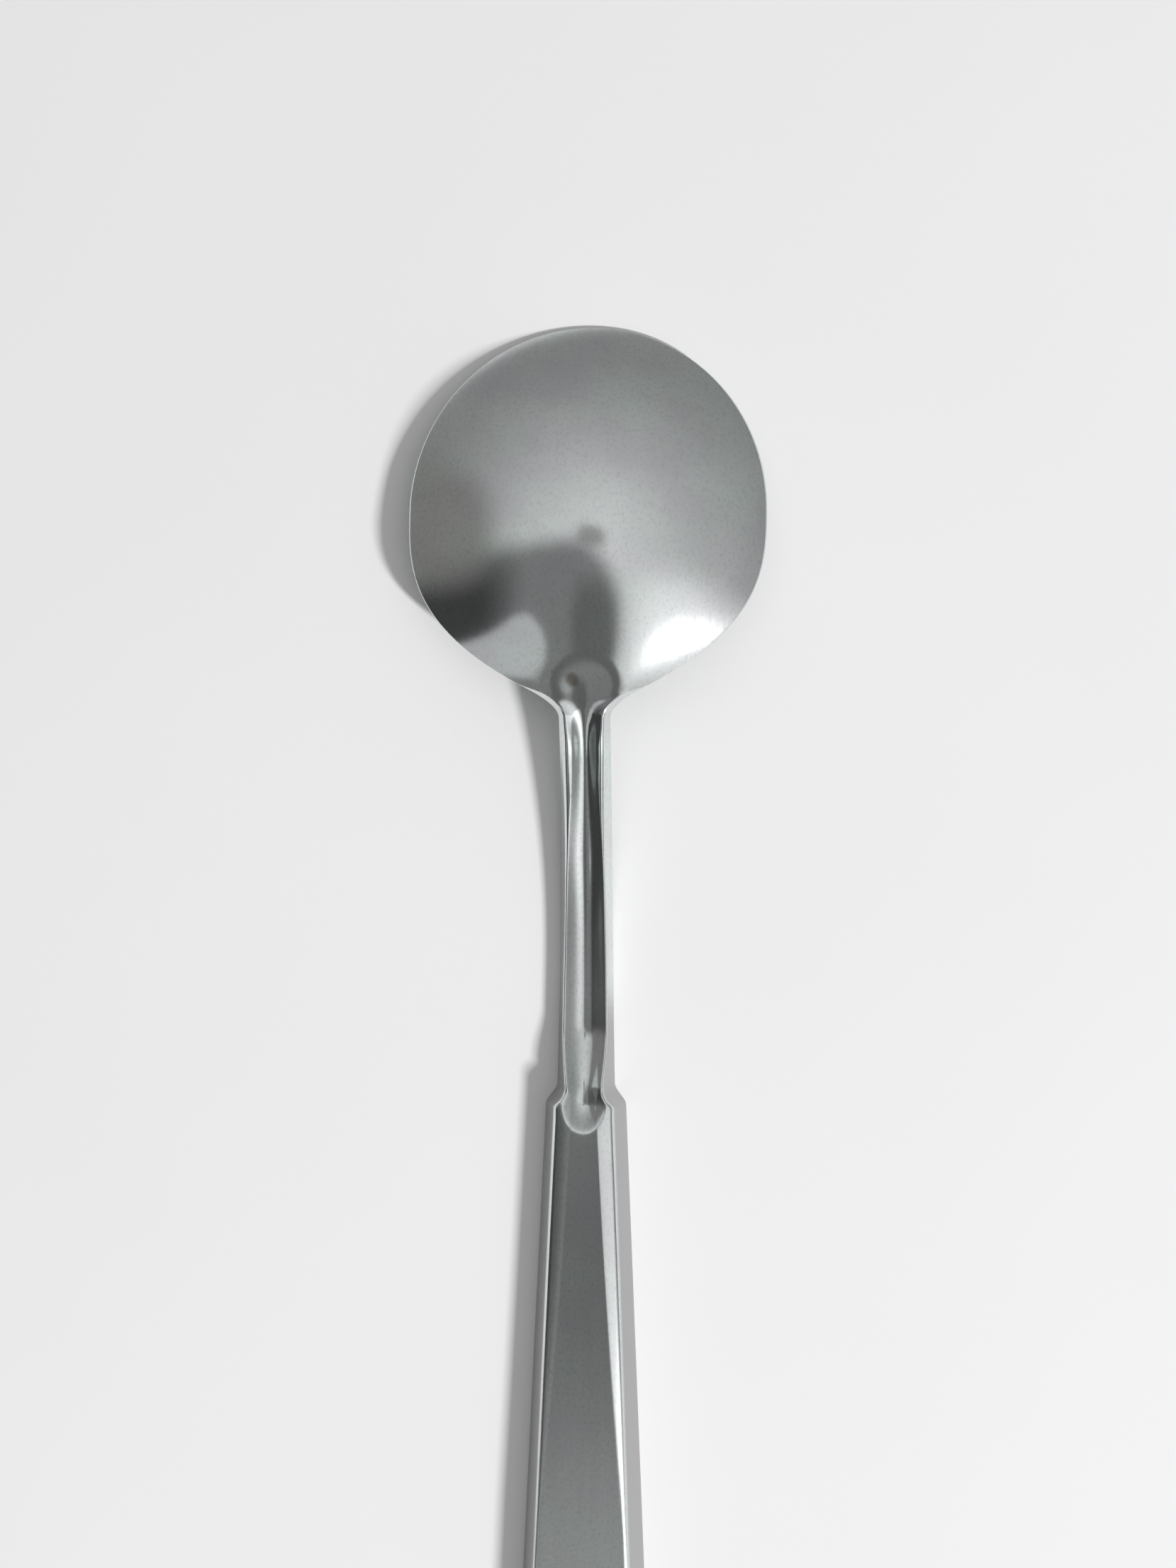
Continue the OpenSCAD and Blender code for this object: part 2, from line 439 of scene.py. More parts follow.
    def edge_rest(self, u: Term) -> Term:
        """How far the lower corner of the cut edge is below the upper one."""
        return self.once("rest", u, lambda: self.s["sheet"] / span(self.wall_slope(u), 1.0))

    def edge_inset(self, u: Term) -> Term:
        """How far the lower corner of the cut edge stands inside the upper one."""
        return self.edge_rest(u) * self.wall_slope(u)

    def rim_z(self, u: Term) -> Term:
        """Height of the rim's plane."""
        return self.s["tip_height"] + u * self.s["rim_rise"]

    def bevel_share(self, u: Term) -> Term:
        """How far the bevel has run out along the handle."""
        along = unit((u - self.handle_start) / self.s["bevel_run"])
        return along * along

    def fold_z(self, u: Term) -> Term:
        """Height of the handle's folds."""
        s = self.s
        return s["handle_height"] - mix(s["bevel_drop"], s["bevel_end_drop"], self.bevel_share(u))

    def ridge_z(self, u: Term) -> Term:
        """Height of the neck's ridges and the handle's folds."""
        return self.once("ridge", u, lambda: self.make_ridge_z(u))

    def make_ridge_z(self, u: Term) -> Term:
        """Height of the ridges, from the rim's plane down to the neck's low place and up to the handle."""
        s = self.s
        left = most(1.0 - (u - self.ridge_u) / s["ridge_fall"], 0.0)
        curve = mix(s["neck_low"], self.rim_z(self.ridge_u), left * left)
        return mix(soft_least(self.rim_z(u), curve, s["ridge_bend"]), self.fold_z(u), self.swing(u))

    def edge_z(self, u: Term) -> Term:
        """Height of the upper corner of the cut edge."""
        return self.once("edge", u, lambda: self.make_edge_z(u))

    def make_edge_z(self, u: Term) -> Term:
        """Height of the cut edge, from the rim's plane down to the table."""
        s = self.s
        left = most(1.0 - (u - self.edge_u) / s["edge_fall"], 0.0)
        curve = mix(self.edge_rest(u), self.rim_z(self.edge_u), left ** s["edge_power"])
        return soft_least(self.rim_z(u), curve, s["edge_bend"])

    def flange_height(self, u: Term) -> Term:
        """Height of the turned-down edge."""
        return self.once("flange", u, lambda: most(self.ridge_z(u) - self.edge_z(u), 0.0))

    def fold_half(self, u: Term) -> Term:
        """Half width between the two ridges or folds."""
        return self.once("fold", u, lambda: self.outline(u) - self.flange_height(u) / self.wall_slope(u))

    def dome(self, u: Term, x: Term) -> Term:
        """Back of the bowl: a shallow cap drawn out to the bowl's outline."""
        s = self.s
        share = self.bowl_share(u)
        head = x / s["bowl_half"]
        heel = x / self.outline(u) * root(1.0 - share * share)
        r = span(choose(below(u, s["bowl_tip"]), head, heel), share)
        return self.rim_z(u) + s["bowl_depth"] * (1.0 - r ** s["bowl_power"])

    def scoop(self, u: Term, x: Term) -> Term:
        """Depth of the round hollow where the groove starts in the bowl's back."""
        s = self.s
        before = span(x / s["scoop_half"], (self.scoop_u - u) / s["scoop_length"])
        merge = ease(self.scoop_u, self.scoop_u + s["scoop_merge"], u)
        after = x / mix(s["scoop_half"], self.fold_half(u), merge)
        q = choose(below(u, self.scoop_u), before, after)
        fade = 1.0 - ease(self.scoop_u, self.scoop_u + s["scoop_fade"], u)
        return s["scoop_depth"] * fade * most(1.0 - q * q, 0.0) ** s["scoop_softness"]

    def groove(self, u: Term, x: Term) -> Term:
        """Depth of the neck's groove, with a rounded start and a round run-out in the handle."""
        s = self.s
        ledge = s["bead_ledge"] * (1.0 - ease(self.groove_start, self.groove_start + s["bead_ledge_fade"], u))
        half = soft_least(self.fold_half(u), s["runout_half"], s["groove_bend"]) - ledge
        past = most((self.groove_start - u) / s["bead_round"], 0.0)
        past = past + most((u - self.groove_end) / s["runout_length"], 0.0)
        q = span(x / half, past)
        growth = ease(self.groove_start, self.groove_start + s["bead_grow"], u)
        grown = mix(s["bead_first_share"], 1.0, growth)
        deeper = (s["handle_height"] - s["neck_low"]) * s["runout_share"] * self.swing(u)
        softness = mix(s["groove_softness"], s["runout_softness"], self.swing(u))
        return (s["groove_depth"] * grown + deeper) * most(1.0 - q * q, 0.0) ** softness

    def panel(self, u: Term, x: Term) -> Term:
        """Flat panel of the handle with its bevels."""
        s = self.s
        fold_inside = (self.fold_z(u) - self.edge_z(u)) / self.wall_slope(u)
        wide = mix(s["bevel_width"], s["bevel_end_width"], self.bevel_share(u))
        off = choose(below(u, self.end_start), self.taper(u) - size(x), self.inside(u, x))
        down = unit((fold_inside + wide - off) / wide)
        return s["handle_height"] - (s["handle_height"] - self.fold_z(u)) * down ** s["bevel_softness"]

    def pressed(self, u: Term, x: Term) -> Term:
        """Height of everything inside the ridges and folds, from the shared node group."""
        return self.heights.at(self.s, u, x)

    def press(self, u: Term, x: Term) -> Term:
        """Height of everything inside the ridges and folds, node by node."""
        s = self.s
        near = ease(self.bowl_length - s["heel_soft_length"], self.bowl_length, u)
        middle = 1.0 - ease(s["heel_soft_in"], s["heel_soft_out"], size(x))
        blend = self.TINY + s["heel_soft"] * near * middle
        back = soft_most(self.dome(u, x), self.ridge_z(u), blend)
        return mix(back, self.panel(u, x), self.swing(u)) - self.scoop(u, x) - self.groove(u, x)

    def wall(self, u: Term, x: Term) -> Term:
        """Height of the turned-down edge."""
        return self.edge_z(u) + self.wall_slope(u) * self.inside(u, x)

    def corner_blend(self, u: Term) -> Term:
        """Softness of the folded corner, less where the edge is low."""
        return self.once("blend", u, lambda: self.make_corner_blend(u))

    def make_corner_blend(self, u: Term) -> Term:
        """The softness: half the edge's height, and no more than the fold's own."""
        return most(least(self.flange_height(u) / 2.0, self.s["fold_blend"]), self.TINY)

    def upper(self, u: Term, x: Term) -> Term:
        """Height of the upper face."""
        return soft_least(self.pressed(u, x), self.wall(u, x), self.corner_blend(u))

    def lower(self, u: Term, x: Term) -> Term:
        """Height of the lower face, a sheet's thickness below the upper one."""
        s, step = self.s, self.NUDGE
        across = (self.pressed(u, x + step) - self.pressed(u, x - step)) / (2 * step)
        along = (self.pressed(u + step, x) - self.pressed(u - step, x)) / (2 * step)
        steep = span(across, along, 1.0)
        return soft_least(
            self.pressed(u, x) - s["sheet"] * steep,
            self.wall(u, x) - s["sheet"] * span(self.wall_slope(u), 1.0),
            self.corner_blend(u) / 2.0,
        )


# ---- The skin of the sheet ----------------------------------------------------------------


class Zone(enum.Enum):
    """Named zones of the sheet, from the tip of the bowl to the end of the handle."""

    BOWL = "bowl"
    HEEL = "heel"
    NECK = "neck"
    HANDLE = "handle"
    HANDLE_END = "handle_end"


@dataclass(frozen=True)
class Stations:
    """Where a zone starts and stops along the spoon, and how its rows crowd towards its ends."""

    start: float
    stop: float
    rows: int
    crowd_start: float = 1.0
    crowd_stop: float = 1.0


@dataclass(frozen=True)
class Columns:
    """How many columns the skin has on each side of its middle."""

    inner: int = 30
    outer: int = 18
    edge: int = 7

    @property
    def half(self) -> int:
        """Columns from the middle of the upper face to the middle of the lower one."""
        return 2 * (self.inner + self.outer) + self.edge + 1

    @property
    def ring(self) -> int:
        """Points in one ring round the sheet."""
        return 2 * self.half


class SizedTree:
    """Geometry Nodes tree that has the sizes of the sheet among its named inputs."""

    def __init__(self, name: str, sizes: SheetSizes, others: dict[str, str]) -> None:
        """Make the tree and its inputs.

        Args:
            name: the tree's name.
            sizes: the sizes of the sheet.
            others: the other inputs' names and kinds.
        """
        self.tree = bpy.data.node_groups.new(name, "GeometryNodeTree")
        self.names: dict[str, str] = {}
        self.size_names = [item.name for item in fields(sizes)]
        for title, kind in {**dict.fromkeys(self.size_names, "NodeSocketFloat"), **others}.items():
            socket = self.tree.interface.new_socket(title, in_out="INPUT", socket_type=kind)
            socket.default_value = getattr(sizes, title, 1)
            self.names[title] = socket.identifier
        self.source = self.tree.nodes.new("NodeGroupInput")

    def input(self, name: str) -> Term:
        """A named input as a number."""
        return Term(self.tree, self.source.outputs[name])

    def size_inputs(self) -> dict[str, Term]:
        """The sizes of the sheet as numbers."""
        return {name: self.input(name) for name in self.size_names}


class RuleTree(SizedTree):
    """Node group that works out one rule of the pressed form at a place on the sheet."""

    def __init__(
        self,
        name: str,
        sizes: SheetSizes,
        rule: Callable[[PressedForm, Term, Term], Term],
        heights: "RuleTree | None" = None,
    ) -> None:
        """Build the group.

        Args:
            name: the group's name.
            sizes: the sizes of the sheet.
            rule: the rule, given the form, the place along the spoon and the place across it.
            heights: the group of the pressed height, where the rule needs it.
        """
        super().__init__(name, sizes, {"along": "NodeSocketFloat", "across": "NodeSocketFloat"})
        self.tree.interface.new_socket("height", in_out="OUTPUT", socket_type="NodeSocketFloat")
        height = rule(PressedForm(self.size_inputs(), heights), self.input("along"), self.input("across"))
        self.tree.links.new(height.socket, self.tree.nodes.new("NodeGroupOutput").inputs["height"])
        self.used = [name for name in self.size_names if self.source.outputs[name].is_linked]

    def at(self, inputs: dict[str, Term], u: Term, x: Term) -> Term:
        """Use the group in another tree.

        Args:
            inputs: the sizes in the other tree.
            u: place along the spoon.
            x: place across it.

        Returns:
            The height there.
        """
        node = u.tree.nodes.new("GeometryNodeGroup")
        node.node_tree = self.tree
        for name, number in {**{name: inputs[name] for name in self.used}, "along": u, "across": x}.items():
            u.tree.links.new(number.socket, node.inputs[name])
        return Term(u.tree, node.outputs["height"])


class SkinTree(SizedTree):
    """Geometry Nodes tree that bends a tube of faces into one zone of the sheet."""

    BULGE = 0.22
    BACK = 0.05
    LEAST_SHARE = 0.3
    MOST_SHARE = 0.86
    MERGE_DISTANCE = 1e-6

    def __init__(self, sizes: SheetSizes, columns: Columns, steel: bpy.types.Material) -> None:
        """Build the tree.

        Args:
            sizes: the sizes of the sheet, which become the tree's named inputs.
            columns: the number of columns across the sheet.
            steel: the material that the tree sets.
        """
        kinds = dict.fromkeys((item.name for item in fields(Stations)), "NodeSocketFloat")
        kinds["rows"] = "NodeSocketInt"
        super().__init__("pressed_sheet", sizes, kinds)
        self.columns = columns
        self.tree.interface.new_socket("Geometry", in_out="OUTPUT", socket_type="NodeSocketGeometry")
        heights = RuleTree("pressed_height", sizes, PressedForm.press)
        self.upper = RuleTree("upper_face", sizes, PressedForm.upper, heights)
        self.lower = RuleTree("lower_face", sizes, PressedForm.lower, heights)
        self.form = PressedForm(self.size_inputs())
        self.build(steel)

    def stand_back(self, u: Term, amount: "Term | float") -> tuple[Term, Term]:
        """Move the outline inwards by an amount.

        Args:
            u: the row's place along the spoon.
            amount: how far inwards.

        Returns:
            The row's new place and its half width there.
        """
        form, s = self.form, self.form.s
        width = form.outline(u)
        tip = s["bowl_tip"] - (s["bowl_tip"] - u) * (1.0 - amount / s["bowl_tip"])
        end = form.end_start + (u - form.end_start) * (1.0 - amount / s["end_length"])
        in_tip, in_end = below(u, s["bowl_tip"]), below(form.end_start, u)
        place = choose(in_tip, tip, choose(in_end, end, u))
        side = width - amount * span(form.outline_slope(u), 1.0)
        side = choose(in_end, width * (1.0 - amount / form.taper(u)), side)
        return place, choose(in_tip, width * (1.0 - amount / s["bowl_half"]), side)

    def column(self, place: Term, fold: Term, edge: Term) -> Term:
        """Distance of a column from the middle, with the outer columns beyond the fold."""
        inner, outer = self.columns.inner, self.columns.outer
        fold = most(least(fold, edge * self.MOST_SHARE), edge * self.LEAST_SHARE)
        return choose(below(place, inner), fold * place / inner, mix(fold, edge, (place - inner) / outer))

    def build(self, steel: bpy.types.Material) -> None:
        """Lay out the tree: tube, rows, columns, rounded cut edge, place and material."""
        nodes, links, form, s = self.tree.nodes, self.tree.links, self.form, self.form.s
        half, across = self.columns.half, self.columns.inner + self.columns.outer
        tube = nodes.new("GeometryNodeMeshCylinder")
        tube.fill_type = "NONE"
        tube.inputs["Vertices"].default_value = self.columns.ring
        tube.inputs["Depth"].default_value = 1.0
        links.new((self.input("rows") - 1.0).socket, tube.inputs["Side Segments"])
        index = Term(self.tree, nodes.new("GeometryNodeInputIndex").outputs[0])
        row = (index / self.columns.ring).math("FLOOR")
        point = index - row * self.columns.ring
        share = row / (self.input("rows") - 1.0)
        crowded = 1.0 - (1.0 - share ** self.input("crowd_start")) ** self.input("crowd_stop")
        u = mix(self.input("start"), self.input("stop"), crowded)
        around = size(point - half)
        side = (point - half).math("SIGN")
        top_u, top_edge = self.stand_back(u, self.BACK)
        low_u, low_edge = self.stand_back(u, form.edge_inset(u) + self.BACK)
        top_x = self.column(least(around, across), form.fold_half(u), top_edge)
        low_x = self.column(least(half - around, across), form.fold_half(u) - s["sheet"] * 0.5, low_edge)
        top_z, low_z = self.upper.at(s, top_u, top_x), self.lower.at(s, low_u, low_x)
        turn = unit((around - across) / (self.columns.edge + 1.0)) * math.pi
        drop = (1.0 - turn.math("COSINE")) * 0.5
        bulge = self.BULGE * turn.math("SINE")
        wide, tall = span(top_x - low_x, low_u - top_u), top_z - low_z
        chord = span(wide, tall)
        out = bulge * tall / chord / wide
        x = mix(top_x, low_x, drop) + (top_x - low_x) * out
        v = mix(top_u, low_u, drop) + (top_u - low_u) * out
        z = mix(top_z, low_z, drop) - bulge * wide / chord
        place = nodes.new("ShaderNodeCombineXYZ")
        for socket, number in zip(place.inputs, (side * x * MM, (form.overall * 0.5 - v) * MM, z * MM)):
            links.new(number.socket, socket)
        move = nodes.new("GeometryNodeSetPosition")
        merge = nodes.new("GeometryNodeMergeByDistance")
        merge.inputs["Distance"].default_value = self.MERGE_DISTANCE
        real = nodes.new("GeometryNodeRealizeInstances")
        dress = nodes.new("GeometryNodeSetMaterial")
        dress.inputs["Material"].default_value = steel
        links.new(tube.outputs["Mesh"], move.inputs["Geometry"])
        links.new(place.outputs[0], move.inputs["Position"])
        links.new(move.outputs[0], merge.inputs[0])
        links.new(merge.outputs[0], real.inputs[0])
        links.new(real.outputs[0], dress.inputs["Geometry"])
        links.new(dress.outputs[0], nodes.new("NodeGroupOutput").inputs["Geometry"])

    def draw(self, name: str, stations: Stations) -> bpy.types.Object:
        """Draw one zone as a plain mesh.

        Args:
            name: the new object's name.
            stations: the zone's rows.

        Returns:
            The object, at the origin and without its modifier.
        """
        piece = bpy.data.objects.new(name, bpy.data.meshes.new(name + "_start"))
        bpy.context.scene.collection.objects.link(piece)
        maker = piece.modifiers.new("pressed", "NODES")
        maker.node_group = self.tree
        for item in fields(stations):
            maker[self.names[item.name]] = getattr(stations, item.name)
        graph = bpy.context.evaluated_depsgraph_get()
        drawn = bpy.data.meshes.new_from_object(piece.evaluated_get(graph), depsgraph=graph)
        piece.modifiers.remove(maker)
        drawn.name = name
        piece.data = drawn
        return piece


@dataclass
class PressedSpoon:
    """The whole spoon: one sheet, drawn zone by zone near the stations where the frame's nodes meet."""

    sizes: SheetSizes = field(default_factory=SheetSizes)
    columns: Columns = field(default_factory=Columns)
    heel_before: float = 9.0
    handle_before: float = 1.0
    end_before: float = 2.0

    def stations(self) -> dict[Zone, Stations]:
        """Rows of each zone, closest where the form changes fast."""
        s = self.sizes
        bowl_length = s.bowl_tip + s.bowl_heel
        heel = bowl_length - self.heel_before
        neck = bowl_length - s.ridge_before
        handle = bowl_length + s.neck_length - self.handle_before
        end = s.overall - s.end_length - self.end_before
        return {
            Zone.BOWL: Stations(0.0, heel, rows=110, crowd_start=2.0),
            Zone.HEEL: Stations(heel, neck, rows=110),
            Zone.NECK: Stations(neck, handle, rows=190, crowd_start=1.3),
            Zone.HANDLE: Stations(handle, end, rows=150, crowd_start=1.6),
            Zone.HANDLE_END: Stations(end, s.overall, rows=70, crowd_stop=2.0),
        }

    def build(self, steel: bpy.types.Material) -> None:
        """Draw, join up, close and place every zone.

        Args:
            steel: the sheet's finish.
        """
        tree = SkinTree(self.sizes, self.columns, steel)
        skins = []
        for zone, rows in self.stations().items():
            skins.append(Skin(zone, tree.draw(f"{zone.value}_skin", rows), self.columns))
        for skin, after in zip(skins, skins[1:]):
            skin.join(after)
        for number, skin in enumerate(skins):
            skin.close(steel, first=number > 0, last=number < len(skins) - 1)
            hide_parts(skin.zone.value)
            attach(skin.piece, "root")
            log.info("%s: %d faces", skin.piece.name, len(skin.piece.data.polygons))


class Skin:
    """One zone's mesh with the normals of its faces, which it shares with its neighbours."""

    LEAST_AREA = 1e-14
    LEAST_SUM = 1e-12

    def __init__(self, zone: Zone, piece: bpy.types.Object, columns: Columns) -> None:
        """Add up the normals at each point of the zone.

        Args:
            zone: the zone that the piece stands for.
            piece: the zone's drawn mesh.
            columns: the number of columns across the sheet.
        """
        self.zone = zone
        self.piece = piece
        self.columns = columns
        mesh = piece.data
        normals, areas = np.empty(len(mesh.polygons) * 3), np.empty(len(mesh.polygons))
        mesh.polygons.foreach_get("normal", normals)
        mesh.polygons.foreach_get("area", areas)
        corners = np.empty(len(mesh.loops), int)
        mesh.loops.foreach_get("vertex_index", corners)
        totals = np.empty(len(mesh.polygons), int)
        mesh.polygons.foreach_get("loop_total", totals)
        owners = np.repeat(np.arange(len(totals)), totals)
        weights = normals.reshape(-1, 3) / np.maximum(areas, self.LEAST_AREA)[:, None]
        self.sums = np.zeros((len(mesh.vertices), 3))
        np.add.at(self.sums, corners, weights[owners])

    def join(self, after: "Skin") -> None:
        """Give this zone's last ring and the next one's first ring the same points and normals."""
        ring = self.columns.ring
        shared = self.sums[-ring:] + after.sums[:ring]
        self.sums[-ring:], after.sums[:ring] = shared, shared
        count = len(self.piece.data.vertices)
        for number in range(ring):
            after.piece.data.vertices[number].co = self.piece.data.vertices[count - ring + number].co

    def close(self, steel: bpy.types.Material, first: bool, last: bool) -> None:
        """Close the zone's open rings with faces, and set its finish and normals.

        Args:
            steel: the sheet's finish.
            first: whether the first ring is open.
            last: whether the last ring is open.
        """
        mesh = self.piece.data
        skin_corners = np.empty(len(mesh.loops), int)
        mesh.loops.foreach_get("vertex_index", skin_corners)
        points = np.empty(len(mesh.vertices) * 3)
        mesh.vertices.foreach_get("co", points)
        faces = [tuple(face.vertices) for face in mesh.polygons]
        skin_faces = len(faces)
        if first:
            faces += self.section(0, 1)
        if last:
            faces += self.section(len(mesh.vertices) - self.columns.ring, -1)
        closed = bpy.data.meshes.new(self.piece.name)
        closed.from_pydata(points.reshape(-1, 3).tolist(), [], faces)
        closed.materials.append(steel)
        closed.polygons.foreach_set("use_smooth", [number < skin_faces for number in range(len(faces))])
        lengths = np.maximum(np.linalg.norm(self.sums, axis=1), self.LEAST_SUM)
        directions = self.sums / lengths[:, None]
        corner_normals = directions[skin_corners].tolist()
        for face in list(closed.polygons)[skin_faces:]:
            corner_normals += [tuple(face.normal)] * face.loop_total
        closed.normals_split_custom_set(corner_normals)
        self.piece.data = closed

    def section(self, start: int, facing: int) -> list[tuple[int, ...]]:
        """Faces across an open ring.

        Args:
            start: the ring's first point.
            facing: 1 where the faces look towards the tip, -1 where they look to the handle's end.

        Returns:
            The faces as tuples of points.
        """
        half, ring = self.columns.half, self.columns.ring
        across = self.columns.inner + self.columns.outer
        faces = []
        for side in (1, -1):
            upper = [start + (half + side * j) % ring for j in range(half + 1)]
            strips = [(upper[j], upper[j + 1], upper[half - j - 1], upper[half - j]) for j in range(across)]
            strips.append(tuple(upper[across : half - across + 1]))
            faces += [face if side * facing > 0 else face[::-1] for face in strips]
        return faces


# ---- Finishes -----------------------------------------------------------------------------


@dataclass(frozen=True)
class Grain:
    """A noise pattern: how fine it is, how it is drawn out and turned, and how much detail it has."""

    scale: float
    stretch: Triple = (1.0, 1.0, 1.0)
    turn: float = 0.0
    detail: float = 2.0


class Pattern:
    """Node tree of one material or of the surroundings, with short ways to add to it."""

    COLOUR_A = 6
    COLOUR_B = 7
    COLOUR_OUT = 2

    def __init__(self, tree: bpy.types.NodeTree) -> None:
        """Clear the tree and keep it."""
        self.tree = tree
        tree.nodes.clear()

    def add(self, kind: str, **settings: object) -> bpy.types.Node:
        """Add a node and set its properties."""
        node = self.tree.nodes.new(kind)
        for name, value in settings.items():
            setattr(node, name, value)
        return node

    def plug(
        self, source: "Term | bpy.types.NodeSocket | float | Colour", socket: bpy.types.NodeSocket
    ) -> None:
        """Lead a number, a colour or a socket into a socket.

        Args:
            source: what goes in.
            socket: the socket that takes it.
        """
        if isinstance(source, Term):
            source = source.socket
        if isinstance(source, bpy.types.NodeSocket):
            self.tree.links.new(source, socket)
        else:
            socket.default_value = source

    def places(self, stretch: Triple = (1.0, 1.0, 1.0), turn: float = 0.0) -> bpy.types.NodeSocket:
        """Object coordinates in metres.

        Args:
            stretch: the scale along each axis.
            turn: the turn about the vertical, in radians.

        Returns:
            The socket that gives the coordinates.
        """
        coordinates = self.add("ShaderNodeTexCoord")
        mapping = self.add("ShaderNodeMapping")
        mapping.inputs["Rotation"].default_value = (0, 0, turn)
        mapping.inputs["Scale"].default_value = stretch
        self.plug(coordinates.outputs["Object"], mapping.inputs["Vector"])
        return mapping.outputs[0]

    def parts(self, vector: bpy.types.NodeSocket) -> list[Term]:
        """The three numbers of a vector."""
        node = self.add("ShaderNodeSeparateXYZ")
        self.plug(vector, node.inputs[0])
        return [Term(self.tree, socket) for socket in node.outputs]

    def noise(self, grain: Grain) -> Term:
        """Noise pattern between 0 and 1.

        Args:
            grain: the pattern's scale, stretch, turn and detail.

        Returns:
            The pattern's value at a place.
        """
        node = self.add("ShaderNodeTexNoise")
        self.plug(self.places(grain.stretch, grain.turn), node.inputs["Vector"])
        node.inputs["Scale"].default_value = grain.scale
        node.inputs["Detail"].default_value = grain.detail
        return Term(self.tree, node.outputs["Fac"])

    def spots(self, scale: float, reach: float) -> Term:
        """Scattered round spots.

        Args:
            scale: how close the spots are.
            reach: how far a spot reaches from its middle.

        Returns:
            1 in the middle of a spot and 0 from its reach outwards.
        """
        node = self.add("ShaderNodeTexVoronoi")
        self.plug(self.places(), node.inputs["Vector"])
        node.inputs["Scale"].default_value = scale
        return 1.0 - ease(0.0, reach, Term(self.tree, node.outputs["Distance"]))

    def blend(
        self, share: Term, a: "bpy.types.NodeSocket | Colour", b: "bpy.types.NodeSocket | Colour"
    ) -> bpy.types.NodeSocket:
        """Blend two colours.

        Args:
            share: how much of the second colour shows.
            a: the first colour.
            b: the second colour.

        Returns:
            The socket that gives the blend.
        """
        node = self.add("ShaderNodeMix", data_type="RGBA")
        self.plug(share, node.inputs[0])
        self.plug(a, node.inputs[self.COLOUR_A])
        self.plug(b, node.inputs[self.COLOUR_B])
        return node.outputs[self.COLOUR_OUT]


def about_middle(pattern: Term, reach: float) -> Term:
    """A pattern's swing about its middle value."""
    return (pattern - 0.5) * reach


def grey(level: float, warmth: float = 0.0) -> Colour:
    """A near-grey colour, warmer or cooler by a small share."""
    return (level * (1 + warmth), level, level * (1 - warmth), 1.0)


